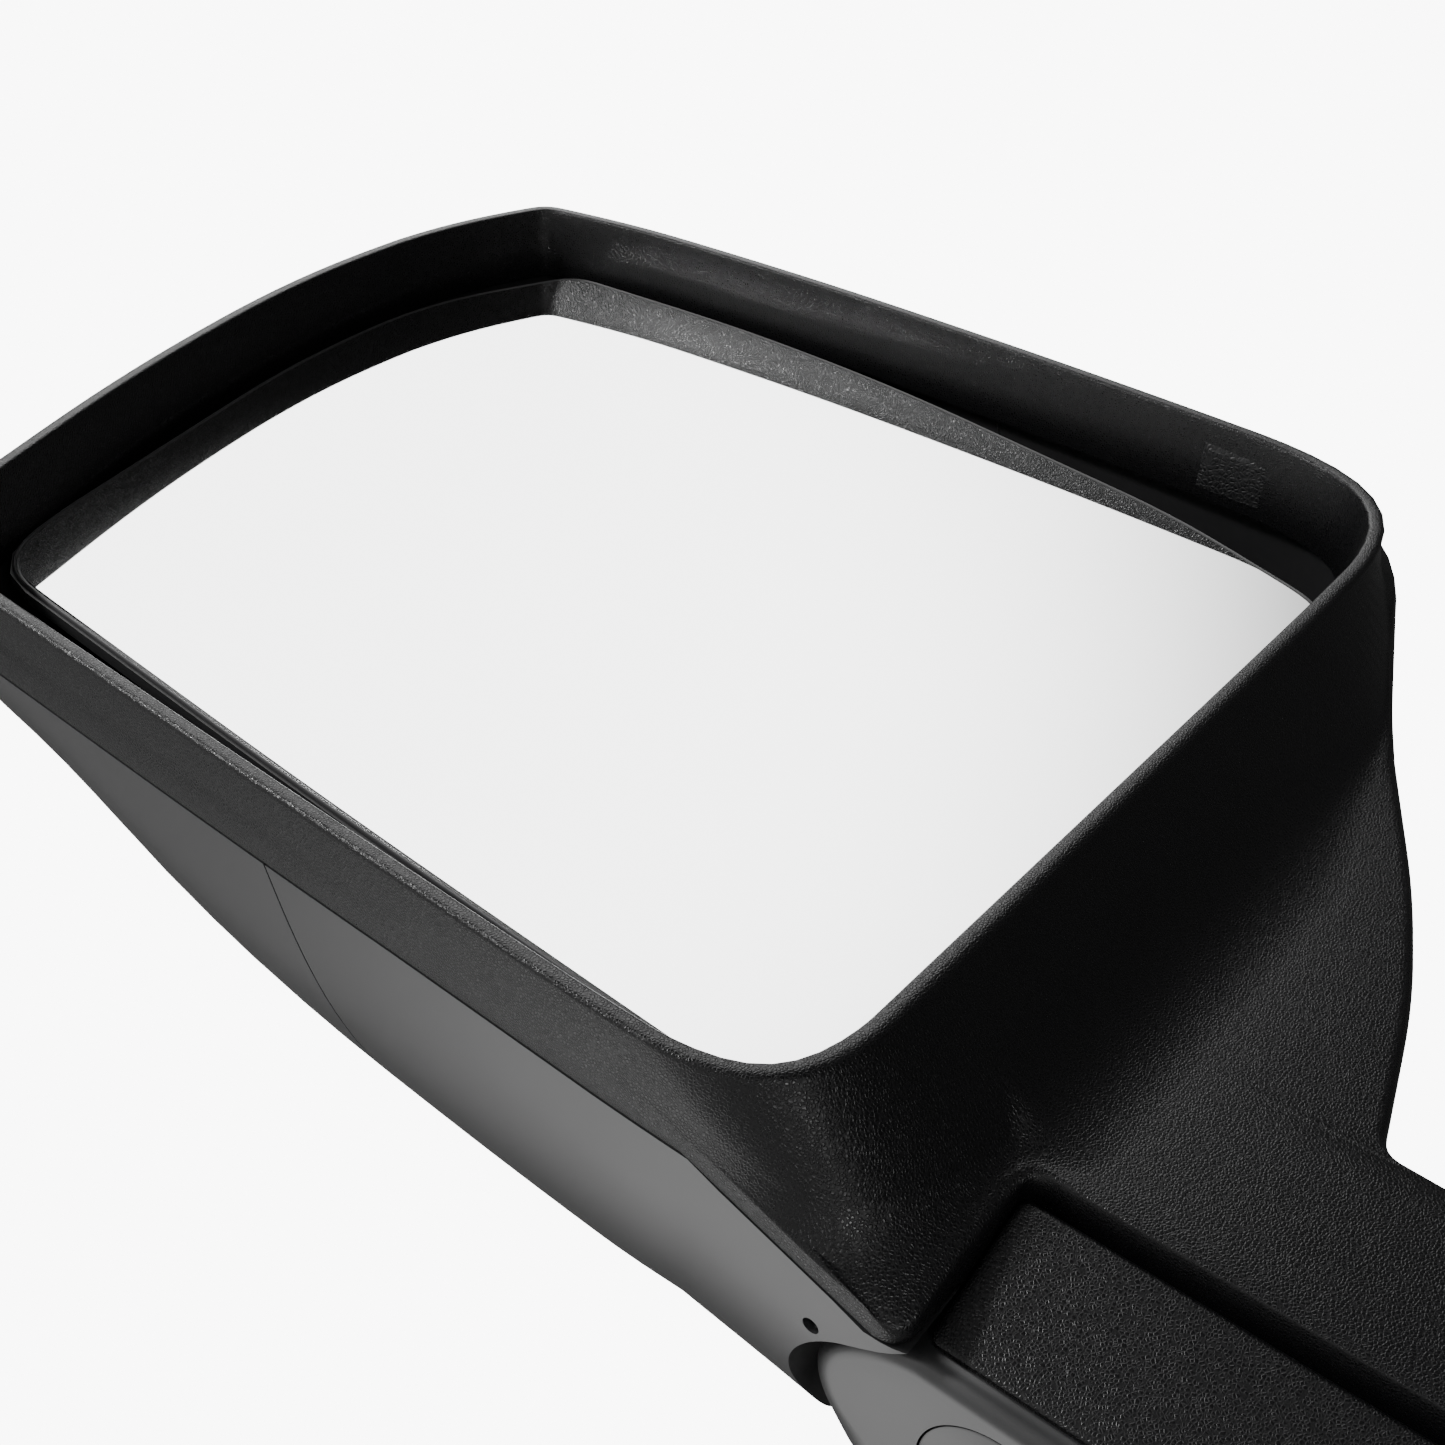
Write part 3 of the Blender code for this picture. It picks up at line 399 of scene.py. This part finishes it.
def front_shells(satin):
    outboard = shell_skin("shell_skin_outboard")
    combine(outboard, [beyond_seam("inboard_side", -SEAM_HALF_GAP, 0.0)], "DIFFERENCE")
    settle(outboard, "head", satin, "satin_plastic", "front_shell_outboard")
    middle = dome(WALL / 2, WALL / 2)
    flat = middle[:1].copy()
    flat[:, :, 0] = DOME_CENTRE[0]
    flat[:, :, 2] = DOME_CENTRE[1]
    flat[:, :, 1] = DEEP_PARTING_Y
    recess = solid("arm_recess", np.concatenate([flat, middle]), "open")
    combine(recess, [arm_sweep("sweep_wall", WALL, HEAD_FLOOR + WALL)], "INTERSECT")
    side = extension_front("extension_skin", 0.0, DEEP_PARTING_Y + 0.3, 17.0)
    combine(side, [extension_front("extension_hollow", WALL, -70.0, 14.0)], "DIFFERENCE")
    inboard = shell_skin("shell_skin_inboard")
    boss = tube("screw_boss", "Z", (*SCREW_PLACE, 0), [(5.0, -12.0), (5.0, 2.0)])
    combine(inboard, [recess, side, boss], "UNION")
    post = tube("post_hole", "Z", (PIVOT_X, 0, 0), [(17.0, 10.0), (17.0, 22.0)])
    access = tube("screw_access", "Z", (*SCREW_PLACE, 0), [(1.5, -30.0), (1.5, -3.0)])
    away = beyond_seam("outboard_side", SEAM_HALF_GAP, -600.0)
    combine(inboard, [arm_sweep("sweep", 0.0, HEAD_FLOOR), post, access, away], "DIFFERENCE")
    settle(inboard, "head", satin, "satin_plastic", "front_shell_inboard")


# ---------------------------------------------------------------- arm

def arm_shell(satin):
    """The arm as one filled body: a plan carried up, drawn in along its rounded edges.

    The round is 3 mm along the rear edge and grows to 12 mm along the front edge.
    """
    first, last = math.radians(134.0), math.radians(270.0)
    turns = np.linspace(first, last, 60)
    radius = ARM_RADIUS + 1.8 * np.clip((np.degrees(turns) - 215) / 55, 0, 1) ** 2
    end = np.stack([PIVOT_X + radius * np.cos(turns), radius * np.sin(turns)], 1)
    run = np.linspace(ARM_END_X, PIVOT_X, 12)[:-1]
    front = np.stack([run, np.full(len(run), end[0, 1])], 1)
    rear = np.stack([run[::-1], np.full(len(run), end[-1, 1])], 1)
    plan = np.concatenate([front, end, rear])
    hub = np.stack([np.clip(plan[:, 0], PIVOT_X, ARM_END_X), np.zeros(len(plan))], 1)
    inward = (hub - plan) / np.linalg.norm(hub - plan, axis=1, keepdims=True)
    share = np.clip((plan[:, 1] + 14.0) / 26.0, 0, 1)
    round_size = REAR_ROUND + (FRONT_ROUND - REAR_ROUND) * share ** 2 * (3 - 2 * share)
    rings = []
    depths = FRONT_ROUND * (1 - np.cos(np.linspace(0, math.pi / 2, 14)))
    for depth in [*depths, 20.0, 27.2]:
        short = np.clip(round_size - depth, 0, None)
        away = round_size - np.sqrt(round_size ** 2 - short ** 2)
        ring = plan + inward * away[:, None]
        rings.append(np.column_stack([ring, np.full(len(ring), ARM_BOTTOM + depth)]))
    for turn in np.linspace(0.2, math.pi / 2, 5):
        ring = plan + inward * 2.0 * (1 - math.cos(turn))
        rings.append(np.column_stack([ring, np.full(len(ring), ARM_TOP - 2 + 2 * math.sin(turn))]))
    shell = solid("arm_skin", rings)
    wide = CAP_RADIUS + 0.25
    pocket = tube("cap_pocket", "Z", (*CAP_CENTRE, 0), [(wide, -30), (wide, -12.2)], 96)
    post = [(POST_POCKET_RADIUS, 5.0), (POST_POCKET_RADIUS, 30.0)]
    boss = tube("boss_pocket", "Z", (PIVOT_X, 0, 0), post, 64)
    combine(shell, [pocket, boss], "DIFFERENCE")
    settle(shell, "base", satin, "satin_plastic", "arm_lower_shell")
    cap = tube("cap_skin", "Z", (*CAP_CENTRE, 0),
               [(CAP_RADIUS - 0.45, ARM_BOTTOM), (CAP_RADIUS - 0.13, ARM_BOTTOM + 0.13),
                (CAP_RADIUS, ARM_BOTTOM + 0.45), (CAP_RADIUS, ARM_BOTTOM + 2.6)], 96)
    settle(cap, "base", satin, "satin_plastic", "pivot_cap")


def rear_panel(grained):
    """The arm's grained panel: a slanting slab with rounded edges, carried along X."""
    section = corner_path([(-22.3, -10.9, 1.0), (-31.5, 13.6, 1.6), (-29.6, 14.4, 0.6),
                           (-21.8, 14.4, 0.3), (-21.8, -10.9, 0.2)], 5, 4)
    rings = []
    for x, trim in ((-186.4, 1.2), (-186.2, 0.6), (-185.6, 0.15), (-185.0, 0.0), (-64.0, 0.0)):
        middle = np.array([-26.0, 5.0])
        ring = section + (middle - section) * trim / 12.0
        rings.append(np.column_stack([np.full(len(ring), x), ring]))
    panel = solid("arm_panel_skin", rings)
    settle(panel, "base", grained, "grained_plastic", "arm_rear_panel")


# ---------------------------------------------------------------- glass and door end

GLASS_CORNERS = [(-443, 12.8, 14), (-330, 3.4, 40), (-214, -3.4, 20), (-214, 187, 14), (-262, 202.2, 16),
                 (-350, 213.4, 24), (-400, 214.2, 20), (-455.5, 209.6, 7), (-472.8, 168, 22),
                 (-470, 118, 20), (-450.5, 35, 7)]


def glass_set(silver, rim_look):
    """The glass with a 0.4 mm ground edge, and the carrier's lip standing round it."""
    outline = soften(corner_path(GLASS_CORNERS, 10, 8), 1.0)
    levels = [(0.4, GLASS_Y), (0.0, GLASS_Y + 0.4), (0.0, GLASS_Y + GLASS_THICK)]
    pane = solid("glass_pane", [at_y(inset(outline, d), y) for d, y in levels])
    settle(pane, "glass", silver, "mirror_silver", "mirror_glass")
    section = [(-0.12, GLASS_Y + 0.75), (-0.2, GLASS_Y + 0.1), (-0.45, GLASS_Y - 0.15), (-0.75, GLASS_Y),
               (-0.95, GLASS_Y + 0.75)]
    lip = solid("glass_lip", [at_y(inset(outline, d), y) for d, y in section], "ring", 60.0)
    settle(lip, "glass", rim_look, "inner_plastic")


def frame_ring(half_y, half_z, corner, x):
    outline = corner_path([(-half_y, -half_z, corner), (half_y, -half_z, corner),
                           (half_y, half_z, corner), (-half_y, half_z, corner)], 12, 4)
    return np.column_stack([np.full(len(outline), x), outline])


def foot(grained):
    """The flared cover: a rounded rectangle whose half sides follow smooth curves in X."""
    along = np.linspace(0, 1, 30)
    x = FOOT_SMALL_X + FOOT_LENGTH * along
    flare = along ** 2 * (3 - 2 * along)
    half_y = 24.6 + 27.4 * flare ** 1.2
    half_z = 17.6 + 41.4 * flare ** 1.2
    corner = 5.0 + 14.0 * flare
    rows = list(zip(half_y, half_z, corner, x))
    outer = [frame_ring(*row) for row in rows]
    inner = [frame_ring(y - FOOT_WALL, z - FOOT_WALL, c - 1, at) for y, z, c, at in reversed(rows)]
    lip = [frame_ring(24.0, 17.0, 4.7, -62.6), frame_ring(22.8, 15.8, 4.2, -62.6)]
    cover = solid("foot_skin", inner + lip[::-1] + outer, "ring")
    settle(cover, "base", grained, "grained_plastic", "foot_cover")


def wall_details(grained, coarse):
    """A raised coarse pad on the frame's upper inner wall, and a round boss beside it."""
    x = np.linspace(*PAD_X, 14)[None, :]
    y = np.linspace(*PAD_Y, 8)[:, None]
    level = 225.6 - 0.0292 * (x + 300.0) - 3.9 - (y - PAD_Y[0]) * 0.12
    edge = np.minimum(np.minimum(x - PAD_X[0], PAD_X[1] - x), np.minimum(y - PAD_Y[0], PAD_Y[1] - y))
    top = level - 0.55 * np.clip(edge / 0.5, 0, 1)
    grid = np.stack(np.broadcast_arrays(x, y, top), -1)
    under = np.stack(np.broadcast_arrays(x, y, level + 0.6), -1)
    loop = [grid[r] for r in range(8)] + [under[r] for r in range(7, -1, -1)]
    mesh = bpy.data.meshes.new("wall_pad")
    points = np.concatenate([g.reshape(-1, 3) for g in loop]) * MM
    faces = grid_faces(16, 14, True, False).tolist()
    left = [r * 14 for r in range(16)]
    right = [r * 14 + 13 for r in range(16)]
    faces += [left, right]
    mesh.from_pydata(points.tolist(), [], faces)
    outward(mesh)
    pad = bpy.data.objects.new("wall_pad", mesh)
    bpy.context.scene.collection.objects.link(pad)
    settle(pad, "head", coarse, "grained_plastic")
    turn = np.linspace(0.05, math.pi / 2, 8)
    boss = tube("ledge_boss", "Z", (-229.5, -35.6, 218.6),
                [(3.4 * math.sin(a), -2.2 * math.cos(a)) for a in turn] + [(3.4, 2.0)], 32)
    settle(boss, "head", grained, "grained_plastic")


# ---------------------------------------------------------------- materials

def linear(hex_color):
    """sRGB hex to linear RGBA."""
    parts = [int(hex_color[i:i + 2], 16) / 255 for i in (1, 3, 5)]
    return (*[p / 12.92 if p <= 0.04045 else ((p + 0.055) / 1.055) ** 2.4 for p in parts], 1.0)


def add_node(tree, kind, settings=None, **inputs):
    """Add a node; inputs are sockets to link from or constants, spaces as underscores."""
    made = tree.nodes.new(kind)
    for key, value in (settings or {}).items():
        setattr(made, key, value)
    for key, value in inputs.items():
        socket = made.inputs[key.replace("_", " ")]
        if isinstance(value, bpy.types.NodeSocket):
            tree.links.new(value, socket)
        else:
            socket.default_value = value
    return made


def start_material(name, **constants):
    made = bpy.data.materials.new(name)
    made.use_nodes = True
    tree = made.node_tree
    shader = tree.nodes["Principled BSDF"]
    for key, value in constants.items():
        shader.inputs[key.replace("_", " ")].default_value = value
    place = add_node(tree, "ShaderNodeTexCoord").outputs["Object"]
    return made, tree, shader, place


def vary_color(tree, shader, source, dark, light):
    """Mix two close colours by a pattern."""
    mix = add_node(tree, "ShaderNodeMix", {"data_type": "RGBA"})
    tree.links.new(source, mix.inputs[0])
    mix.inputs[6].default_value = linear(dark)
    mix.inputs[7].default_value = linear(light)
    tree.links.new(mix.outputs[2], shader.inputs["Base Color"])


def vary_roughness(tree, shader, source, low, high):
    spread = add_node(tree, "ShaderNodeMapRange", Value=source, To_Min=low, To_Max=high)
    tree.links.new(spread.outputs["Result"], shader.inputs["Roughness"])


def add_bump(tree, shader, height, strength, depth_mm):
    bump = add_node(tree, "ShaderNodeBump", Height=height, Strength=strength, Distance=depth_mm * MM)
    tree.links.new(bump.outputs["Normal"], shader.inputs["Normal"])


def per_metre(size_mm):
    """Texture scale that gives cells of a size in millimetres."""
    return 1.0 / (size_mm * MM)


def pebble_plastic(name, cell_mm, depth_mm, dark, light, rough):
    """Polypropylene moulded in an etched tool: round pebbles parted by fine grooves."""
    made, tree, shader, place = start_material(name, IOR=1.49, Specular_IOR_Level=0.27)
    cells = add_node(tree, "ShaderNodeTexVoronoi", {"feature": "DISTANCE_TO_EDGE"},
                     Vector=place, Scale=per_metre(cell_mm))
    pebble = add_node(tree, "ShaderNodeMapRange", {"interpolation_type": "SMOOTHSTEP"},
                      Value=cells.outputs["Distance"], From_Max=0.28)
    cloud = add_node(tree, "ShaderNodeTexNoise", Vector=place, Scale=per_metre(14.0), Detail=3.0)
    vary_color(tree, shader, cloud.outputs["Fac"], dark, light)
    vary_roughness(tree, shader, pebble.outputs["Result"], rough + 0.14, rough)
    add_bump(tree, shader, pebble.outputs["Result"], 0.55, depth_mm)
    return made


def satin_plastic(name, dark, light, rough):
    """ABS from a polished tool: nearly smooth, with a faint long ripple."""
    made, tree, shader, place = start_material(name, IOR=1.53, Coat_Weight=0.15, Coat_Roughness=0.25)
    cloud = add_node(tree, "ShaderNodeTexNoise", Vector=place, Scale=per_metre(22.0), Detail=2.0)
    fine = add_node(tree, "ShaderNodeTexNoise", Vector=place, Scale=per_metre(0.45), Detail=2.0)
    vary_color(tree, shader, cloud.outputs["Fac"], dark, light)
    vary_roughness(tree, shader, cloud.outputs["Fac"], rough - 0.03, rough + 0.05)
    add_bump(tree, shader, fine.outputs["Fac"], 0.12, 0.02)
    return made


def metal(name, dark, light, rough, grain_mm, depth_mm):
    """Cast or plated metal: its grain shows in the colour, the gloss and the relief."""
    made, tree, shader, place = start_material(name, Metallic=1.0)
    grain = add_node(tree, "ShaderNodeTexNoise", Vector=place, Scale=per_metre(grain_mm), Detail=4.0)
    vary_color(tree, shader, grain.outputs["Fac"], dark, light)
    vary_roughness(tree, shader, grain.outputs["Fac"], rough - 0.08, rough + 0.1)
    add_bump(tree, shader, grain.outputs["Fac"], 0.3, depth_mm)
    return made


def soft_matt(name, dark, light, rough, grain_mm):
    """Nylon, rubber, moulded inner plastic or printed film, by its colours and grain."""
    made, tree, shader, place = start_material(name)
    grain = add_node(tree, "ShaderNodeTexNoise", Vector=place, Scale=per_metre(grain_mm), Detail=3.0)
    vary_color(tree, shader, grain.outputs["Fac"], dark, light)
    vary_roughness(tree, shader, grain.outputs["Fac"], rough - 0.05, rough + 0.05)
    add_bump(tree, shader, grain.outputs["Fac"], 0.2, 0.03)
    return made


def silvered_glass():
    """Float glass silvered on its first face, with the slight haze of cleaned glass."""
    made, tree, shader, place = start_material("silvered_glass", Metallic=1.0)
    haze = add_node(tree, "ShaderNodeTexNoise", Vector=place, Scale=per_metre(60.0), Detail=2.0)
    vary_color(tree, shader, haze.outputs["Fac"], "#F3F4F4", "#F8F8F8")
    vary_roughness(tree, shader, haze.outputs["Fac"], 0.012, 0.03)
    return made


# ---------------------------------------------------------------- stage

def studio_world():
    """A backdrop that only the camera sees as white.

    The object is lit by a dim room with one broad bright patch, which the glass looks at.
    """
    world = bpy.data.worlds.new("studio")
    world.use_nodes = True
    tree = world.node_tree
    tree.nodes.clear()
    way = add_node(tree, "ShaderNodeTexCoord").outputs["Generated"]
    facing = add_node(tree, "ShaderNodeVectorMath", {"operation": "DOT_PRODUCT"})
    tree.links.new(way, facing.inputs[0])
    facing.inputs[1].default_value = SKY_AIM
    sky = add_node(tree, "ShaderNodeMapRange", {"interpolation_type": "SMOOTHSTEP"},
                   Value=facing.outputs["Value"], From_Min=0.86, From_Max=0.99, To_Min=0.1, To_Max=5.5)
    seen = add_node(tree, "ShaderNodeLightPath").outputs["Is Camera Ray"]
    strength = add_node(tree, "ShaderNodeMix", {"data_type": "FLOAT"})
    tree.links.new(seen, strength.inputs[0])
    tree.links.new(sky.outputs["Result"], strength.inputs[2])
    strength.inputs[3].default_value = 9.0
    back = add_node(tree, "ShaderNodeBackground", Strength=strength.outputs[0])
    back.inputs["Color"].default_value = linear("#FFFFFF")
    out = add_node(tree, "ShaderNodeOutputWorld")
    tree.links.new(back.outputs[0], out.inputs["Surface"])
    bpy.context.scene.world = world


def stage(look):
    """A pale floor well below, soft lights, and a camera low behind the mirror."""
    floor = bpy.data.meshes.new("floor")
    half, height = 4.0, FLOOR_Z
    floor.from_pydata([(-half, -half, height), (half, -half, height), (half, half, height),
                       (-half, half, height)], [], [(0, 1, 2, 3)])
    floor.materials.append(look)
    ground = bpy.data.objects.new("floor", floor)
    bpy.context.scene.collection.objects.link(ground)
    studio_world()
    lamps = [
        ("under", (-0.4, 0.4, -0.56), (-0.3, 0.02, 0.0), 0.8, 3.7),
        ("low", (-0.24, -0.62, -0.66), (-0.2, -0.03, 0.0), 0.07, 3.0),
        ("crest", (-0.99, -0.65, -0.33), (-0.33, -0.05, 0.0), 0.14, 10.0),
        ("side", (0.5, -0.62, -0.4), (-0.15, 0.0, 0.0), 0.2, 2.4),
        ("top", (-0.55, 0.25, 0.95), (-0.3, 0.0, 0.1), 0.25, 2.4),
    ]
    for name, spot, aim, size, power in lamps:
        lamp = bpy.data.lights.new(name, "AREA")
        lamp.shape = "DISK"
        lamp.size = size
        lamp.energy = power
        holder = bpy.data.objects.new(name, lamp)
        toward = Vector(aim) - Vector(spot)
        turn = toward.to_track_quat("-Z", "Y").to_matrix().to_4x4()
        holder.matrix_world = Matrix.Translation(spot) @ turn
        bpy.context.scene.collection.objects.link(holder)
    camera = bpy.data.cameras.new("camera")
    camera.lens = LENS_MM
    camera.sensor_width = SENSOR_MM
    camera.clip_start = 0.01
    seen_from = bpy.data.objects.new("camera", camera)
    right = (0.7801, -0.0350, 0.6246)
    up = (-0.3901, -0.8078, 0.4419)
    ahead = (-0.4891, 0.5884, 0.6439)
    place = (-0.110, -0.255, -0.167)
    rows = [(right[i], up[i], -ahead[i], place[i]) for i in range(3)]
    seen_from.matrix_world = Matrix(rows + [(0, 0, 0, 1)])
    bpy.context.scene.collection.objects.link(seen_from)
    bpy.context.scene.camera = seen_from


grained = pebble_plastic("moulded_grain_plastic", 0.58, 0.08, "#080809", "#0C0C0D", 0.27)
coarse = pebble_plastic("coarse_grain_plastic", 1.05, 0.2, "#0E0E0F", "#121213", 0.3)
satin = satin_plastic("satin_shell_plastic", "#1C1C1D", "#202021", 0.4)
inner = soft_matt("moulded_inner_plastic", "#1B1B1C", "#222223", 0.55, 0.8)
finishes = {
    "grained_plastic": grained,
    "satin_plastic": satin,
    "inner_plastic": inner,
    "cast_aluminium": metal("cast_aluminium", "#9C9EA0", "#B4B6B8", 0.46, 0.9, 0.05),
    "zinc_steel": metal("zinc_plated_steel", "#B2B0A8", "#C8C6C0", 0.32, 0.5, 0.01),
    "white_nylon": soft_matt("natural_nylon", "#D8D5CB", "#E2DFD6", 0.5, 1.2),
    "seal_rubber": soft_matt("door_seal_rubber", "#121212", "#1A1A1A", 0.82, 0.6),
    "mirror_silver": silvered_glass(),
    "heater_foil": soft_matt("heater_film", "#A8683A", "#B87443", 0.45, 3.0),
}
for entry in frame["record"]["subparts"]:
    mesh = frame["nodes"][entry["node"]].data
    mesh.materials.clear()
    mesh.materials.append(finishes[entry["material_slot"]])

settle(rear_frame(), "head", grained, "grained_plastic", "rear_bezel")
front_shells(satin)
arm_shell(satin)
rear_panel(grained)
glass_set(finishes["mirror_silver"], inner)
foot(grained)
wall_details(grained, coarse)
stage(soft_matt("studio_floor", "#EDEDEC", "#F1F1F0", 0.7, 400.0))
